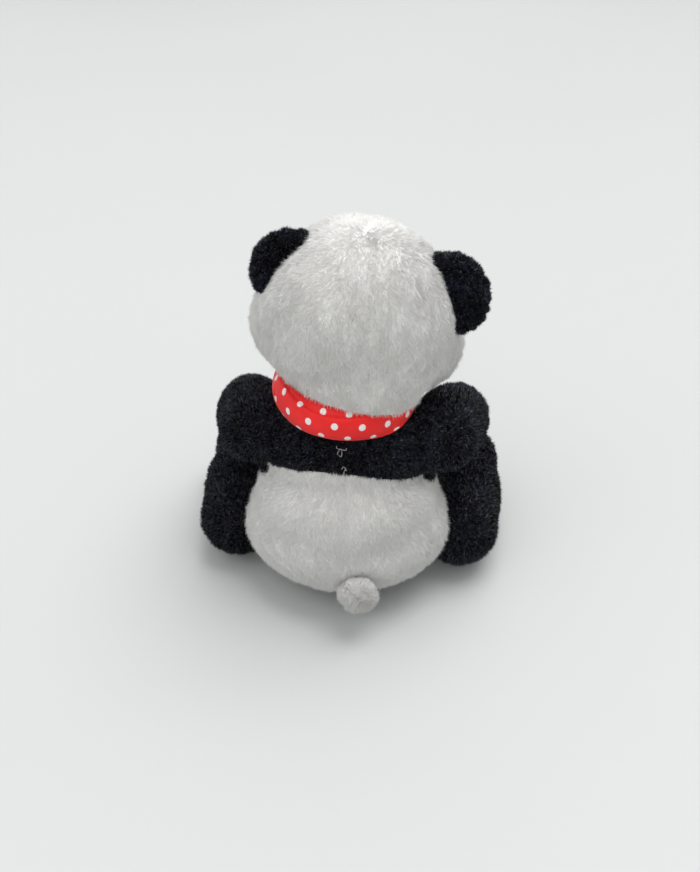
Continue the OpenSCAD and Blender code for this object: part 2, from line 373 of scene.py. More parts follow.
class Look:
    """A node material with short ways to add its parts."""

    def __init__(self, name, **shader):
        self.material = bpy.data.materials.new(name)
        self.material.use_nodes = True
        self.nodes = self.material.node_tree.nodes
        self.links = self.material.node_tree.links
        self.shader = self.nodes["Principled BSDF"]
        for key, value in shader.items():
            self.shader.inputs[key.replace("_", " ")].default_value = value
        self.place = self.add("ShaderNodeTexCoord").outputs["Object"]

    def add(self, kind, **settings):
        node = self.nodes.new(kind)
        for key, value in settings.items():
            setattr(node, key, value)
        return node

    def link(self, a, b):
        self.links.new(a, b)

    def noise(self, per_mm, detail=4, rough=0.6):
        """Noise with features about 1 / per_mm millimetres across."""
        node = self.add("ShaderNodeTexNoise")
        node.inputs["Scale"].default_value = per_mm * 1000
        node.inputs["Detail"].default_value = detail
        node.inputs["Roughness"].default_value = rough
        self.link(self.place, node.inputs["Vector"])
        return node.outputs["Fac"]

    def ramp(self, value, low, high, start=0.3, end=0.7):
        node = self.add("ShaderNodeValToRGB")
        first, last = node.color_ramp.elements
        first.position, last.position = start, end
        first.color, last.color = (*low, 1), (*high, 1)
        self.link(value, node.inputs["Fac"])
        return node.outputs["Color"]

    def mix(self, factor, a, b):
        node = self.add("ShaderNodeMix", data_type="RGBA")
        for socket, value in ((node.inputs[0], factor), (node.inputs[6], a), (node.inputs[7], b)):
            if isinstance(value, tuple):
                socket.default_value = (*value, 1)
            else:
                self.link(value, socket)
        return node.outputs[2]

    def math(self, operation, a, b=0.0):
        node = self.add("ShaderNodeMath", operation=operation)
        for socket, value in zip(node.inputs, (a, b)):
            if isinstance(value, (int, float)):
                socket.default_value = value
            else:
                self.link(value, socket)
        return node.outputs[0]

    def colour(self, socket):
        self.link(socket, self.shader.inputs["Base Color"])

    def rough(self, value, low, high):
        node = self.add("ShaderNodeMapRange")
        node.inputs["To Min"].default_value = low
        node.inputs["To Max"].default_value = high
        self.link(value, node.inputs["Value"])
        self.link(node.outputs[0], self.shader.inputs["Roughness"])

    def bump(self, height, depth, strength=1.0):
        node = self.add("ShaderNodeBump")
        node.inputs["Distance"].default_value = depth * MM
        node.inputs["Strength"].default_value = strength
        self.link(height, node.inputs["Height"])
        self.link(node.outputs["Normal"], self.shader.inputs["Normal"])


def plush_look(name, low, high, roughness, sheen):
    """Fabric under the pile: mottled, with the knit backing's grain."""
    look = Look(name, Sheen_Weight=sheen, Sheen_Roughness=0.5, Specular_IOR_Level=0.2)
    mottle = look.noise(0.25)
    look.colour(look.ramp(mottle, low, high))
    look.rough(mottle, roughness - 0.08, roughness)
    look.bump(look.noise(2.2, 6, 0.75), 0.5, 0.7)
    return look.material


def strand_look(name, low, high, roughness, specular, sheen=0.0, drift_share=0.5, span=(0.35, 0.65)):
    """Fibre: its colour drifts over the toy and from tuft to tuft."""
    look = Look(name, Specular_IOR_Level=specular, Sheen_Weight=sheen, Sheen_Roughness=0.4)
    drift, tuft = look.noise(0.09, 2), look.noise(1.1, 2)
    far_part = look.math("MULTIPLY", drift, drift_share)
    both = look.math("ADD", far_part, look.math("MULTIPLY", tuft, 1 - drift_share))
    look.colour(look.ramp(both, low, high, *span))
    look.rough(tuft, roughness - 0.1, roughness + 0.05)
    return look.material


def cotton_look():
    """Smooth red cotton with a staggered grid of white pin dots, laid along the cloth."""
    pitch, dot_r, thread = 8.0, 1.0, 0.22
    look = Look("scarf_cotton", Sheen_Weight=0.15, Sheen_Roughness=0.35, Specular_IOR_Level=0.35)
    cloth = look.add("ShaderNodeAttribute", attribute_name="cloth_mm").outputs["Vector"]

    def lattice(offset):
        scaled = look.add("ShaderNodeVectorMath", operation="SCALE")
        scaled.inputs["Scale"].default_value = 1 / pitch
        look.link(cloth, scaled.inputs[0])
        moved = look.add("ShaderNodeVectorMath", operation="ADD")
        moved.inputs[1].default_value = (offset, offset, 0)
        look.link(scaled.outputs[0], moved.inputs[0])
        cell = look.add("ShaderNodeVectorMath", operation="FRACTION")
        look.link(moved.outputs[0], cell.inputs[0])
        centred = look.add("ShaderNodeVectorMath", operation="SUBTRACT")
        centred.inputs[1].default_value = (0.5, 0.5, 0)
        look.link(cell.outputs[0], centred.inputs[0])
        length = look.add("ShaderNodeVectorMath", operation="LENGTH")
        look.link(centred.outputs[0], length.inputs[0])
        return length.outputs["Value"]

    near = look.math("MULTIPLY", look.math("MINIMUM", lattice(0.0), lattice(0.5)), pitch)
    edge = look.math("ADD", near, look.math("MULTIPLY", look.noise(2.5), 0.16))
    red = look.ramp(look.noise(0.12, 3), (0.74, 0.006, 0.007), (0.85, 0.014, 0.014))
    white = look.ramp(look.noise(1.5), (0.72, 0.66, 0.64), (0.86, 0.84, 0.82))
    inside = look.ramp(edge, (1, 1, 1), (0, 0, 0), (dot_r - 0.02) / 4, (dot_r + 0.16) / 4)
    scaled_edge = look.math("DIVIDE", edge, 4.0)
    look.links.new(scaled_edge, inside.node.inputs["Fac"])
    look.colour(look.mix(inside, red, white))
    waves = []
    for way in ("X", "Y"):
        wave = look.add("ShaderNodeTexWave", bands_direction=way)
        wave.inputs["Scale"].default_value = 0.314 / thread
        wave.inputs["Distortion"].default_value = 0.3
        look.link(cloth, wave.inputs["Vector"])
        waves.append(wave.outputs["Fac"])
    look.bump(look.math("MULTIPLY", waves[0], waves[1]), 0.03, 0.5)
    look.rough(look.noise(0.5), 0.5, 0.62)
    return look.material


def thread_look(name, low, high, roughness, **shader):
    look = Look(name, **shader)
    look.colour(look.ramp(look.noise(3.0), low, high))
    look.rough(look.noise(6.0), roughness - 0.1, roughness + 0.1)
    wave = look.add("ShaderNodeTexWave", bands_direction="DIAGONAL")
    wave.inputs["Scale"].default_value = 900
    look.link(look.place, wave.inputs["Vector"])
    look.bump(wave.outputs["Fac"], 0.06, 0.6)
    return look.material


def plastic_look(name, low, high, roughness, grain_per_mm, grain):
    look = Look(name, Specular_IOR_Level=0.5, Coat_Weight=0.3, Coat_Roughness=0.08)
    look.colour(look.ramp(look.noise(0.6), low, high))
    look.rough(look.noise(1.5), roughness * 0.7, roughness * 1.3)
    look.bump(look.noise(grain_per_mm, 3), grain, 0.5)
    return look.material


def steel_look(name, tint, roughness):
    look = Look(name, Metallic=1.0)
    wear = look.noise(0.9, 6, 0.7)
    look.colour(look.ramp(wear, tuple(t * 0.82 for t in tint), tint, 0.35, 0.6))
    look.rough(wear, roughness + 0.16, roughness)
    look.bump(look.noise(7.0, 5), 0.02, 0.4)
    return look.material


def floor_look():
    look = Look("sweep", Specular_IOR_Level=0.25)
    look.colour(look.ramp(look.noise(0.004, 2), (0.51, 0.522, 0.516), (0.52, 0.532, 0.526)))
    look.rough(look.noise(0.05), 0.55, 0.65)
    return look.material


def ribbon_look():
    look = Look("black_ribbon", Sheen_Weight=0.3, Sheen_Roughness=0.3, Specular_IOR_Level=0.4)
    look.colour(look.ramp(look.noise(1.5), (0.012, 0.012, 0.014), (0.024, 0.024, 0.028)))
    wave = look.add("ShaderNodeTexWave", bands_direction="Z")
    wave.inputs["Scale"].default_value = 1100
    look.link(look.place, wave.inputs["Vector"])
    look.bump(wave.outputs["Fac"], 0.05, 0.7)
    look.rough(look.noise(2.0), 0.4, 0.55)
    return look.material


WHITE_BASE = plush_look("white_plush", (0.74, 0.725, 0.7), (0.84, 0.825, 0.8), 0.95, 0.2)
WHITE_FIBRE = strand_look("white_pile", (0.88, 0.865, 0.84), (0.97, 0.955, 0.93), 0.8, 0.25, 0.3)
BLACK_BASE = plush_look("black_plush", (0.002, 0.002, 0.004), (0.006, 0.006, 0.010), 0.95, 0.02)
BLACK_FIBRE = strand_look(
    "black_pile", (0.001, 0.001, 0.005), (0.055, 0.064, 0.115), 0.36, 0.5, drift_share=0.3, span=(0.5, 0.66)
)
COTTON = cotton_look()
BLACK_THREAD = thread_look("black_thread", (0.01, 0.01, 0.012), (0.03, 0.03, 0.034), 0.5)
CLEAR_THREAD = thread_look("clear_thread", (0.3, 0.3, 0.32), (0.5, 0.5, 0.52), 0.3, Specular_IOR_Level=0.6)
EYE = plastic_look("eye_plastic", (0.004, 0.004, 0.005), (0.009, 0.008, 0.009), 0.06, 2.0, 0.004)
NOSE = plastic_look("nose_plastic", (0.008, 0.008, 0.009), (0.016, 0.015, 0.016), 0.32, 4.0, 0.06)
WASHER = plastic_look("washer_plastic", (0.7, 0.7, 0.68), (0.8, 0.8, 0.78), 0.45, 2.0, 0.03)
RIBBON = ribbon_look()
CHAIN_STEEL = steel_look("plated_steel", (0.74, 0.74, 0.75), 0.14)
RING_STEEL = steel_look("ring_steel", (0.70, 0.70, 0.71), 0.18)


def finish_piece(obj, material, body=None, replaces=()):
    obj.data.materials.clear()
    obj.data.materials.append(material)
    if body:
        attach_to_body(obj, body)
    if replaces:
        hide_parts(*replaces)
    return obj


# ---------------------------------------------------------------- camera, light, floor

FOCAL = 50.5
TARGET = (0, 0, 45)
AZIMUTH, ELEVATION, DISTANCE = 184, 37, 360
SHIFT_Y = -0.0103
SKY, SKY_STRENGTH = (0.98, 0.985, 0.99, 1), 0.88
# Each: name, where it shines from, how wide the sun is in degrees, strength
LIGHTS = (
    ("key", (-130, -120, 620), 45, 1.8),
    ("fill", (300, 420, 420), 70, 0.85),
    ("front", (-160, -420, 330), 60, 0.6),
)


def camera_and_light():
    a, e = math.radians(AZIMUTH), math.radians(ELEVATION)
    back = Vector((math.sin(a) * math.cos(e), -math.cos(a) * math.cos(e), math.sin(e)))
    data = bpy.data.cameras.new("camera")
    data.lens, data.sensor_width = FOCAL, 36
    data.shift_y = SHIFT_Y
    camera = bpy.data.objects.new("camera", data)
    bpy.context.scene.collection.objects.link(camera)
    camera.location = spot(TARGET) + back * DISTANCE * MM
    camera.rotation_mode = "QUATERNION"
    camera.rotation_quaternion = (-back).to_track_quat("-Z", "Y")
    bpy.context.scene.camera = camera

    world = bpy.context.scene.world or bpy.data.worlds.new("world")
    bpy.context.scene.world = world
    world.use_nodes = True
    sky = world.node_tree.nodes["Background"]
    sky.inputs["Color"].default_value = SKY
    sky.inputs["Strength"].default_value = SKY_STRENGTH
    for name, at, spread, strength in LIGHTS:
        light = bpy.data.lights.new(name, "SUN")
        light.angle, light.energy = math.radians(spread), strength
        lamp = bpy.data.objects.new(name, light)
        bpy.context.scene.collection.objects.link(lamp)
        lamp.location = spot(at)
        lamp.rotation_mode = "QUATERNION"
        lamp.rotation_quaternion = (spot((0, 0, 40)) - lamp.location).to_track_quat("-Z", "Y")
    bpy.context.scene.view_settings.view_transform = "Standard"


def sweep():
    """A plain floor that curves up into a low wall all round, nearer behind the toy's front."""
    near, far, bend, turns, steps = 420, 1400, 260, 128, 14
    points, faces = [(0, 0, 0)], []
    for t in range(turns):
        angle = 2 * math.pi * t / turns
        start = far - (far - near) * max(0.0, -math.sin(angle)) ** 2
        profile = [(start * k / 3, 0) for k in (1, 2, 3)]
        for k in range(1, steps + 1):
            rise = math.pi / 2 * k / steps
            profile.append((start + bend * math.sin(rise), bend * (1 - math.cos(rise))))
        profile.append((start + bend, (start + bend) / 2))
        points += [(r * math.cos(angle), r * math.sin(angle), z) for r, z in profile]
    rows = len(profile)
    for t in range(turns):
        a, b = 1 + t * rows, 1 + (t + 1) % turns * rows
        faces.append((0, a, b))
        faces += [(a + k, a + k + 1, b + k + 1, b + k) for k in range(rows - 1)]
    floor = mesh_of("sweep", points, faces)
    floor.data.materials.append(floor_look())


camera_and_light()
sweep()

# ---------------------------------------------------------------- body

HEAD_TURN = turn(0, -HEAD_ROLL, 0)


def in_head(c):
    """A place in the head's own frame, as a place in the toy's."""
    return Vector(HEAD_C) + HEAD_TURN @ Vector(c)


def mirrored(c, side):
    return Vector((c[0] * side, c[1], c[2]))


def limb_lumps(root, side, mid, end, sizes):
    root_r, mid_r, half, end_r = sizes
    along = mirrored(end, side)
    aim = along.to_track_quat("Z", "X").to_matrix()
    return [
        (root, (root_r,) * 3),
        (root + mirrored(mid, side), (mid_r, mid_r, half), aim),
        (root + along, (end_r,) * 3),
    ]


def shoulder(side):
    return mirrored(SHOULDER, side)


def hip(side):
    return mirrored(HIP, side)


def sit(obj):
    """Flattens what would be under the table."""
    points = points_of(obj)
    points[:, 2] = np.maximum(points[:, 2], 0.35 + 0.12 * np.sin(points[:, 0]) * np.sin(points[:, 1]))
    set_points(obj, points)
    return obj


def crease(obj, distance, depth, width):
    """Sinks a groove where distance(points) is near nought."""
    points = points_of(obj)
    near = distance(points)
    set_points(obj, points - normals_of(obj) * (depth * np.exp(-((near / width) ** 2)))[:, None])
    return obj


def seam_far(points):
    return np.hypot(points[:, 0] - SEAM_X, points[:, 2] - SEAM_Z) - SEAM_R


def seam_block():
    """Everything under the arched seam."""
    bm = bmesh.new()
    place = Matrix.Translation((SEAM_X * WORK, 0, SEAM_Z * WORK)) @ Matrix.Rotation(math.pi / 2, 4, "X")
    bmesh.ops.create_cone(
        bm, cap_ends=True, segments=160, radius1=SEAM_R * WORK, radius2=SEAM_R * WORK, depth=2, matrix=place
    )
    mesh = bpy.data.meshes.new("seam_block")
    bm.to_mesh(mesh)
    bm.free()
    return show("seam_block", mesh)


CUT_AT, CUT_WAY = (19, 8, 47), (0.85, -0.5, 0)
CUP_R = 30.5


def body_forms():
    """The torso with its arms as one skin, then cut at the shoulders and the seam."""
    whites = shrunk(TORSO[:3], WHITE_RISE + SWELL)
    blacks = shrunk(TORSO[3:], BLACK_RISE + SWELL)
    arms = {n: limb_lumps(shoulder(s), s, ARM_MID, ARM_END, ARM_SIZES) for n, s in SIDES.items()}
    inset = BLACK_RISE + SWELL
    fillers = shrunk([((21 * s, 8, 50), (10.5, 12, 11)) for s in (1, -1)], inset)
    arm_lumps = [lump for arm in arms.values() for lump in shrunk(arm, inset)]
    body = plush_form("body", whites + blacks + fillers + arm_lumps)
    sit(body)
    cut(body, form("cup", [(HEAD_C, (CUP_R,) * 3)], 2, 0))
    crease(body, seam_far, 0.9, 1.6)
    crease(body, lambda p: np.where(p[:, 2] < 50, p[:, 0] + 0.6 * np.sin(p[:, 2] / 5), 99), 0.35, 1.3)
    made = {}
    for name, side in SIDES.items():
        block = form(f"arm_block_{name}", shrunk(arms[name], -2.5), 2.5, 2)
        cut(block, half_space(mirrored(CUT_AT, side), mirrored(CUT_WAY, side)), "INTERSECT")
        arm = copy_of(body, f"arm_{name}_plush")
        cut(arm, block, "INTERSECT", keep_tool=True)
        cut(body, block)
        made[f"arm_{name}"] = arm
    for name, side in SIDES.items():
        lumps = shrunk(limb_lumps(hip(side), side, LEG_MID, LEG_END, LEG_SIZES), inset)
        leg = sit(plush_form(f"leg_{name}_plush", lumps))
        cut(body, copy_of(leg, "leg_block", grow=0.2))
        made[f"leg_{name}"] = leg
    seat = copy_of(body, "seat_plush")
    block = seam_block()
    cut(seat, block, "INTERSECT", keep_tool=True)
    cut(body, block)
    body.name = "yoke_plush"
    made["seat"], made["yoke"] = seat, body
    return made


EAR_SHAPE = {"left": (24.2, 10.4), "right": (26.3, 11.3)}


def head_forms():
    inset = WHITE_RISE + SWELL - 0.5
    cheek = [(in_head((x, -5, -8)), (16.5, 17, 15.5), HEAD_TURN) for x in CHEEK_X]
    skull = [(Vector(HEAD_C), HEAD_R, HEAD_TURN)]
    crown = [(in_head((0, 0, 3)), (27, 25.5, 26), HEAD_TURN)]
    nape = [(in_head((-3, 8, -10)), (21, 19.6, 18.6), HEAD_TURN)]
    head = plush_form("head_plush", shrunk(skull + cheek + crown + nape, inset))
    muzzle = form("muzzle_plush", shrunk([(in_head(MUZZLE_C), MUZZLE_R, HEAD_TURN)], 0.9), 0.8, 4)
    cut(muzzle, copy_of(head, "muzzle_tool", grow=-0.8))
    made = {"head": head, "muzzle": muzzle}
    for name, side in SIDES.items():
        flip = Matrix.Diagonal((side, 1, 1))
        out = turn(0, 0, 6) @ turn(0, 60, 0)
        disc = HEAD_TURN @ flip @ out @ turn(90, 0, 16)
        far, wide = EAR_SHAPE[name]
        centre = in_head(flip @ (out @ Vector((0, 0, far))))
        root = in_head(flip @ (out @ Vector((0, 0, far - 3.8))))
        lumps = [(centre, (wide, wide, 2.9), disc), (root, (wide - 1.3, wide - 1.3, 2.6), disc)]
        rim = wide - 2.7
        for k in range(18):
            angle = 2 * math.pi * k / 18
            at = centre + disc @ Vector((rim * math.cos(angle), rim * math.sin(angle), 0))
            lumps.append((at, (2.7, 2.7, 2.6), disc))
        ear = form(f"ear_{name}_plush", lumps, 0.9, 5)
        points = points_of(ear)
        local = (points - np.array(centre)) @ np.array(disc)
        bowl = np.exp(-((np.hypot(local[:, 0], local[:, 1]) / 6.5) ** 2)) * (local[:, 2] > 0)
        set_points(ear, points - np.outer(bowl * 1.7, np.array(disc.col[2])))
        cut(ear, copy_of(head, "ear_tool", grow=-0.6))
        made[f"ear_{name}"] = ear
    return made


def tail_form():
    centre = Vector(TAIL_C) + Vector((0, 0, TAIL_LIFT))
    return form("tail_plush", [(centre, (TAIL_R - 1.3, TAIL_R - 2.2, TAIL_R - 1.9))], 0.7, 4)


soft = {**body_forms(), **head_forms(), "tail": tail_form()}
cut(soft["seat"], copy_of(soft["tail"], "tail_block", grow=0.1))
for piece in soft.values():
    settle(piece)
trees = {name: tree_of(piece) for name, piece in soft.items()}


# ---------------------------------------------------------------- scarf


def cloth_sheet(name, grid, thick, coords):
    """A sheet from a grid of points; coords gives each one's place on the flat cloth."""
    rows, cols = grid.shape[:2]
    faces = [
        (i * cols + j, i * cols + j + 1, (i + 1) * cols + j + 1, (i + 1) * cols + j)
        for i in range(rows - 1)
        for j in range(cols - 1)
    ]
    obj = mesh_of(name, grid.reshape(-1, 3), faces)
    mark = obj.data.attributes.new("cloth_mm", "FLOAT_VECTOR", "POINT")
    flat = np.concatenate([coords.reshape(-1, 2), np.full((rows * cols, 1), 0.0)], axis=1)
    mark.data.foreach_set("vector", flat.ravel())
    modify(obj, "SUBSURF", levels=1, render_levels=1)
    modify(obj, "SOLIDIFY", thickness=thick * MM, offset=0.0)
    return obj


def lift_off(points, tree, gap):
    """Moves points that are inside a mesh, or nearer than gap, out to gap from it."""
    for i, p in enumerate(points):
        where, normal, _, far = tree.find_nearest(Vector(p) * MM, 0.008)
        if where is None:
            continue
        inside = (Vector(p) * MM - where).dot(normal) < 0
        if (inside and far < 0.0075) or far < gap * MM:
            points[i] = (where + normal * gap * MM) / MM
    return points


def scarf_wrap():
    """The folded band round the neck: an upper ply, a fold that stands proud of it and a lower ply."""
    ring_turn = np.array(turn(SCARF_PITCH, -SCARF_ROLL, 0))
    around, across = 240, 44
    phi = np.linspace(0, 2 * np.pi, around) - np.pi / 2
    grid, coords = np.zeros((around, across, 3)), np.zeros((around, across, 2))
    s = np.linspace(0, 1, across)
    for i, angle in enumerate(phi):
        back = math.sin(angle)
        fold = 26 + 26 * max(0, math.cos(angle)) ** 1.5 + 6 * math.sin(3 * angle + 1)
        theta = np.radians(128 - 250 * s)
        fold = math.radians(fold)
        past = 1 / (1 + np.exp((theta - fold) / 0.035))
        under = np.exp(-(((theta - fold - 0.09) / 0.07) ** 2))
        wave = 0.28 * np.sin(5 * angle + 3 * s) + 0.16 * np.sin(11 * angle - 4 * s)
        wide = 4.3 + 0.55 * past - 0.5 * under + wave * (1 - 0.6 * abs(back))
        tall = 4.6 + 0.3 * past
        lip = 0.7 * past * np.exp(-(((theta - fold) / 0.16) ** 2))
        radial = SCARF_R + wide * np.cos(theta)
        height = tall * np.sin(theta) + lip
        local = np.stack([radial * math.cos(angle), radial * math.sin(angle), height], axis=1) * SCARF_SCALE
        grid[i] = local @ ring_turn.T + np.array(SCARF_C)
        steps = np.linalg.norm(np.diff(grid[i], axis=0), axis=1)
        coords[i, :, 1] = np.concatenate([[0], np.cumsum(steps)]) + 1.2
        coords[i, :, 0] = SCARF_R * 1.08 * (angle + 0.13)
    flat = grid.reshape(-1, 3)
    away = flat - np.array(HEAD_C)
    far = np.linalg.norm(away, axis=1, keepdims=True)
    flat = np.where(far < 27.2, np.array(HEAD_C) + away / far * 27.2, flat)
    for name in ("yoke", "arm_left", "arm_right"):
        flat = lift_off(flat, trees[name], 0.5)
    grid = flat.reshape(grid.shape)
    for _ in range(2):
        grid[1:-1] = grid[1:-1] * 0.6 + 0.2 * (grid[:-2] + grid[2:])
    return cloth_sheet("scarf_wrap", grid, 0.35, coords)


def scarf_knot():
    """The knot: a short band pulled tight round the two ends, with folds that run into it."""
    around, across = 48, 25
    grid, coords = np.zeros((around, across, 3)), np.zeros((around, across, 2))
    for i in range(around):
        angle = 2 * math.pi * i / (around - 1)
        for j in range(across):
            t = 2 * j / (across - 1) - 1
            plump = math.sqrt(max(0.0, 1 - 0.72 * t * t))
            fold = 0.28 * math.sin(4 * math.pi * t + 0.8 * math.sin(angle))
            fold += 0.2 * math.sin(2 * angle + 3 * t)
            up = (3.5 + fold) * plump * math.sin(angle)
            out = (3.3 + fold) * plump * math.cos(angle)
            grid[i, j] = (4.6 * t, -out, up)
            coords[i, j] = (4.6 * t + 3, 3.4 * angle)
    spin = np.array(turn(0, -12, 0))
    return cloth_sheet("scarf_knot_wrap", grid @ spin.T + np.array(KNOT_C), 0.35, coords)


def scarf_end(name, side):
    """A short free end that flares from the knot and ripples."""
    rows, cols = 26, 17
    corners = [(3.6, 53.6), (9.2, 53.9), (17.2, 44.4), (6.5, 42.6)]
    grid, coords = np.zeros((rows, cols, 3)), np.zeros((rows, cols, 2))
    for i in range(rows):
        down_cloth = i / (rows - 1)
        for j in range(cols):
            over = j / (cols - 1)
            a = np.array(corners[0]) * (1 - over) + np.array(corners[1]) * over
            b = np.array(corners[3]) * (1 - over) + np.array(corners[2]) * over
            x, z = a * (1 - down_cloth) + b * down_cloth
            ripple = 0.75 * down_cloth * math.sin(2.4 * math.pi * over + side) - 0.5 * down_cloth
            grid[i, j] = (side * x, KNOT_C[1] - 1.5 + ripple, z)
            coords[i, j] = (11 * over + 2, 11 * down_cloth + 1)
    return cloth_sheet(name, grid, 0.35, coords)


wrap = scarf_wrap()
finish_piece(wrap, COTTON, "torso", ("scarf_band",))
knot = scarf_knot()
finish_piece(knot, COTTON, "torso", ("scarf_knot",))
for name, side in SIDES.items():
    end = scarf_end(f"scarf_end_{name}", side)
    finish_piece(end, COTTON, f"scarf_tail_{name}", (f"scarf_tail_{name}",))
wrap_tree = tree_of(wrap)


# ---------------------------------------------------------------- face


def lens(name, base_tree, axis, spin, half, thick):
    """A closed oval pad that lies on a mesh round an axis out of the head."""
    rings, around = 10, 44
    out = Vector(axis).normalized()
    right = Vector((0, 0, 1)).cross(out).normalized()
    up = out.cross(right)
    centre = Vector(HEAD_C)
    tops, lows = [], []
    for r in range(rings + 1):
        for k in range(around if r else 1):
            angle = 2 * math.pi * k / around
            x, y = half[0] * math.cos(angle) * r / rings, half[1] * math.sin(angle) * r / rings
            c, s = math.cos(math.radians(spin)), math.sin(math.radians(spin))
            from_point = centre + right * (c * x - s * y) + up * (s * x + c * y) + out * 60
            hit, normal, _, _ = base_tree.ray_cast(from_point * MM, -out)
            rise = thick * (1 - (r / rings) ** 4) + 0.25
            tops.append(hit / MM + normal * rise)
            lows.append(hit / MM - normal * 0.5)
    n = len(tops)
    faces = []
    for r in range(rings):
        for k in range(around):
            k2 = (k + 1) % around
            inner = (0, 0) if r == 0 else (1 + (r - 1) * around + k, 1 + (r - 1) * around + k2)
            outer = (1 + r * around + k, 1 + r * around + k2)
            ring = [inner[0], outer[0], outer[1]] if r == 0 else [inner[0], outer[0], outer[1], inner[1]]
            faces.append(ring)
            faces.append([n + v for v in reversed(ring)])
    rim = 1 + (rings - 1) * around
    for k in range(around):
        k2 = (k + 1) % around
        faces.append([rim + k, n + rim + k, n + rim + k2, rim + k2])
    return mesh_of(name, tops + lows, faces)


def tube(name, lines, radius, sides=8):
    """Thread along lines of places, with closed ends."""
    points, faces = [], []
    for line in lines:
        line = [Vector(p) for p in line]
        base = len(points)
        side = None
        for i, p in enumerate(line):
            way = (line[min(i + 1, len(line) - 1)] - line[max(i - 1, 0)]).normalized()
            side = (side or way.orthogonal()) - way * (side or way.orthogonal()).dot(way)
            side.normalize()
            other = way.cross(side)
            for k in range(sides):
                angle = 2 * math.pi * k / sides
                points.append(p + (side * math.cos(angle) + other * math.sin(angle)) * radius)
        for i in range(len(line) - 1):
            for k in range(sides):
                k2 = (k + 1) % sides
                a, b = base + i * sides, base + (i + 1) * sides
                faces.append([a + k, a + k2, b + k2, b + k])
        faces.append([base + k for k in reversed(range(sides))])
        last = base + (len(line) - 1) * sides
        faces.append([last + k for k in range(sides)])
    return mesh_of(name, points, faces)


def eye_axis(side):
    return HEAD_TURN @ turn(0, 0, 22 * side) @ turn(-5, 0, 0) @ Vector((0, -1, 0))


def on_surface(tree, start, way, out=0.0):
    hit, normal, _, _ = tree.ray_cast(spot(start), Vector(way))
    return hit / MM + normal * out


def mouth():
    """A line of stitches down from the nose that parts into two curves."""
    way = HEAD_TURN @ Vector((0, 1, 0))
    runs = [[(0, -7.2 - 0.7 * k) for k in range(5)]]
    for side in (1, -1):
        arc = [math.radians(a) for a in range(0, 171, 10)]
        runs.append([(side * (3 - 3 * math.cos(a)), -10 - 2.9 * math.sin(a)) for a in arc])
    lines = []
    for run in runs:
        lines.append([on_surface(trees["muzzle"], in_head((x, -60, z)), way, 1.0) for x, z in run])
    return tube("mouth_thread", lines, 0.36)


def nose():
    lumps = [
        (in_head((1.5, NOSE_C[1] + 0.2, NOSE_C[2] + 0.5)), (2.3, 2.1, 1.9), HEAD_TURN),
        (in_head((-1.5, NOSE_C[1] + 0.2, NOSE_C[2] + 0.5)), (2.3, 2.1, 1.9), HEAD_TURN),
        (in_head((0, NOSE_C[1] + 0.3, NOSE_C[2] - 0.9)), (1.9, 1.9, 1.6), HEAD_TURN),
    ]
    return settle(form("nose_button", lumps, 0.3, 6))


patches = {}
for name, side in SIDES.items():
    patches[name] = lens(f"eye_patch_{name}_plush", trees["head"], eye_axis(side), 25 * side, (5.9, 7.9), 1.5)
patch_trees = {name: tree_of(piece) for name, piece in patches.items()}
nose_button = finish_piece(nose(), NOSE, "head", ("nose",))
finish_piece(mouth(), BLACK_THREAD, "head", ("mouth_stitches",))


# ---------------------------------------------------------------- small soft pieces and hardware


def neck_cuff():
    """The short black sleeve that joins the head to the torso, hidden by the scarf."""
    around, across = 96, 8
    points, faces = [], []
    for layer, r0 in enumerate((29.4, 30.2)):
        for i in range(around):
            angle = 2 * math.pi * i / around
            for j in range(across):
                polar = math.radians(18.5 + 13 * j / (across - 1))
                r = r0 + 0.12 * math.sin(24 * angle) * math.sin(math.pi * j / (across - 1))
                flat = math.sin(polar)
                way = Vector((flat * math.cos(angle), flat * math.sin(angle), -math.cos(polar)))
                points.append(Vector(HEAD_C) + r * way)
    n = around * across
    for i in range(around):
        i2 = (i + 1) % around
        for j in range(across - 1):
            a, b, c, d = i * across + j, i2 * across + j, i2 * across + j + 1, i * across + j + 1
            faces.append([n + a, n + b, n + c, n + d])
            faces.append([d, c, b, a])
        for j in (0, across - 1):
            a, b = i * across + j, i2 * across + j
            faces.append([a, b, n + b, n + a] if j == 0 else [b, a, n + a, n + b])
    return mesh_of("neck_cuff", points, faces)


def ribbon():
    """A folded ribbon sewn under the knot: a flat tape in a long loop."""
    line = [(0.45, 0.2), (1.0, -1.0), (1.35, -2.6), (1.4, -4.2), (1.35, -5.6)]
    arc = [math.radians(a) for a in range(15, 170, 15)]
    bottom = [(1.35 * math.cos(a), -5.8 - 1.05 * math.sin(a)) for a in arc]
    whole = line + bottom + [(-x, z) for x, z in reversed(line)]
    rows, cols = len(whole), 9
    grid, coords = np.zeros((rows, cols, 3)), np.zeros((rows, cols, 2))
    for i, (y, z) in enumerate(whole):
        for j in range(cols):
            x = 3.9 * (j / (cols - 1) - 0.5)
            grid[i, j] = (x, HANG_Y + y, LOOP_TOP + z)
            coords[i, j] = (x, i)
    tape = cloth_sheet("ribbon_tape", grid, 0.5, coords)
    return tape


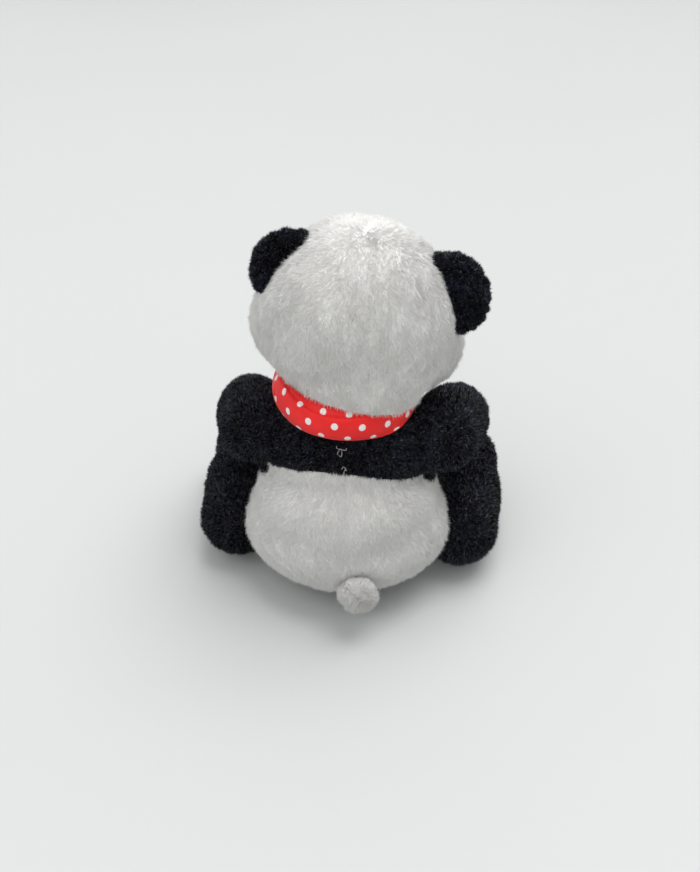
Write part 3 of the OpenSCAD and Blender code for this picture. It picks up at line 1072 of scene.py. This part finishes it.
def threads_on_seam():
    """Loose ends of the clear closing thread at the back of the yoke."""
    tree = trees["yoke"]
    way = Vector((0, -1, 0))
    curls = [
        [(1.5 + 0.6 * math.cos(a), 55.4 + 0.7 * math.sin(a)) for a in np.linspace(-0.5, 5.2, 22)],
        [(1.0 + 1.4 * math.cos(a), 57.0 + 0.9 * math.sin(a)) for a in np.linspace(3.3, 6.6, 16)],
        [(0.6 * math.sin(1.7 * t) - 0.3 * t, 50.6 - 1.9 * t) for t in np.linspace(-0.6, 1.8, 20)],
        [(0.2 + 0.7 * math.cos(a), 51.0 + 0.6 * math.sin(a)) for a in np.linspace(0.4, 3.9, 16)],
    ]
    lines = []
    for n, curl in enumerate(curls):
        line = []
        for k, (x, z) in enumerate(curl):
            hit = tree.ray_cast(spot((x - 0.5, 80, z)), way)[0]
            y = hit.y / MM if hit is not None else 27.0
            line.append((x - 0.5, y + 1.5 + 0.5 * math.sin(k * 0.5 + n), z))
        lines.append(line)
    return tube("closing_thread", lines, 0.075, 6)


finish_piece(neck_cuff(), BLACK_BASE, "neck", ("neck_collar",))
finish_piece(ribbon(), RIBBON, "ribbon_loop", ("ribbon_loop",))
finish_piece(threads_on_seam(), CLEAR_THREAD, "torso", ("closing_stitches",))

for name, look in (
    ("jump_ring", CHAIN_STEEL),
    ("chain_link_1", CHAIN_STEEL),
    ("chain_link_2", CHAIN_STEEL),
    ("chain_link_3", CHAIN_STEEL),
    ("split_ring", RING_STEEL),
    ("eye_left", EYE),
    ("eye_right", EYE),
    ("eye_washer_left", WASHER),
    ("eye_washer_right", WASHER),
):
    node = frame["nodes"][name]
    node.data.materials.clear()
    node.data.materials.append(look)

# ---------------------------------------------------------------- pile on every plush piece

WHITE = {"length": 1.9, "width": 0.085, "lean": 0.62, "curl": 0.2, "softness": 0.72}
POMPON = {"length": 2.4, "width": 0.13, "lean": 0.3, "curl": 0.7, "softness": 0.4}
BLACK = {"length": 1.5, "width": 0.15, "lean": 0.3, "curl": 1.2, "softness": 0.0}
SHORT = {"length": 1.2, "width": 0.08, "lean": 0.5, "curl": 0.2, "softness": 0.7}


def pile(name, base, count, style, colour, comb, seed, avoid=(), reach=0.9, region=None):
    made = strands(name, base, count, comb=comb, seed=seed, avoid=avoid, reach=reach, region=region, **style)
    return finish_piece(made, WHITE_FIBRE if colour == "white" else BLACK_FIBRE)


def others(*names):
    return [trees[n] for n in names]


head_things = [*patch_trees.values(), *others("muzzle", "ear_left", "ear_right"), wrap_tree]
nose_tree = tree_of(nose_button)


def behind(y):
    return lambda p: p[:, 1] > y


def before(y):
    return lambda p: p[:, 1] <= y


def outside_cup(p):
    return np.linalg.norm(p - np.array(HEAD_C), axis=1) > CUP_R + 0.4


SEAT_SIDE = others("leg_left", "leg_right", "yoke", "tail")
YOKE_SIDE = [*others("seat", "arm_left", "arm_right"), wrap_tree]
# Each row: body part, end of the name, strands, style, colour, combing,
# what it keeps clear of, by how much, and where on the piece it grows
PILES = [
    ("seat", "_back", 45000, WHITE, "white", over_seam, SEAT_SIDE, 0.35, behind(16)),
    ("seat", "_front", 45000, WHITE, "white", over_seam, SEAT_SIDE, 0.35, before(16)),
    ("yoke", "", 45000, BLACK, "black", swirl, YOKE_SIDE, 0.5, outside_cup),
    ("arm_left", "", 45000, BLACK, "black", swirl, [*others("yoke"), wrap_tree], 0.3, None),
    ("arm_right", "", 45000, BLACK, "black", swirl, [*others("yoke"), wrap_tree], 0.3, None),
    ("leg_left", "", 45000, BLACK, "black", swirl, others("seat", "arm_left"), 0.25, None),
    ("leg_right", "", 45000, BLACK, "black", swirl, others("seat", "arm_right"), 0.25, None),
    ("head", "_back", 45000, WHITE, "white", down, head_things, 0.6, behind(-2)),
    ("head", "_front", 45000, WHITE, "white", down, head_things, 0.6, before(-2)),
    ("muzzle", "", 8000, SHORT, "white", down, [trees["head"], nose_tree], 0.2, None),
    ("ear_left", "", 18000, BLACK, "black", swirl, others("head"), 0.3, None),
    ("ear_right", "", 18000, BLACK, "black", swirl, others("head"), 0.3, None),
    ("tail", "", 30000, POMPON, "white", swirl, (), 0, behind(TAIL_C[1] - 4)),
]
REPLACED = {
    "seat": ("seat_skin", "torso_stuffing"),
    "yoke": ("yoke_skin",),
    "head": ("head_skin", "head_stuffing"),
    "muzzle": ("muzzle",),
    "ear_left": ("ear_left",),
    "ear_right": ("ear_right",),
    "tail": ("tail",),
}
for limb in ("arm", "leg"):
    for name in SIDES:
        REPLACED[f"{limb}_{name}"] = (f"{limb}_skin_{name}", f"{limb}_stuffing_{name}")
BODY_OF = {"seat": "torso", "yoke": "torso", "muzzle": "head"}


def attach(obj, part):
    """Rides a piece on its body; an arm piece only has its transform baked into its mesh and rides on
    nothing.
    """
    if part.startswith("arm_"):
        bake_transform(obj)
    else:
        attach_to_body(obj, BODY_OF.get(part, part))


for seed, (part, end, count, style, colour, comb, avoid, reach, region) in enumerate(PILES):
    full_name, draw = f"{part}_pile{end}", 20 + 3 * seed
    made = pile(full_name, soft[part], count, style, colour, comb, draw, avoid, reach, region)
    attach(made, part)
for part, skin in soft.items():
    colour = "white" if part in ("seat", "head", "muzzle", "tail") else "black"
    base = WHITE_BASE if colour == "white" else BLACK_BASE
    finish_piece(skin, base, None, REPLACED[part])
    attach(skin, part)
for n, (name, patch) in enumerate(patches.items()):
    eye_tree = tree_of(frame["nodes"][f"eye_{name}"])
    full_name, style, around = f"eye_patch_{name}_pile", BLACK | {"length": 1.1}, [trees["head"], eye_tree]
    made = pile(full_name, patch, 4000, style, "black", swirl, 90 + n, around, 0.25)
    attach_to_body(made, "head")
    finish_piece(patch, BLACK_BASE, "head", (f"eye_patch_{name}",))
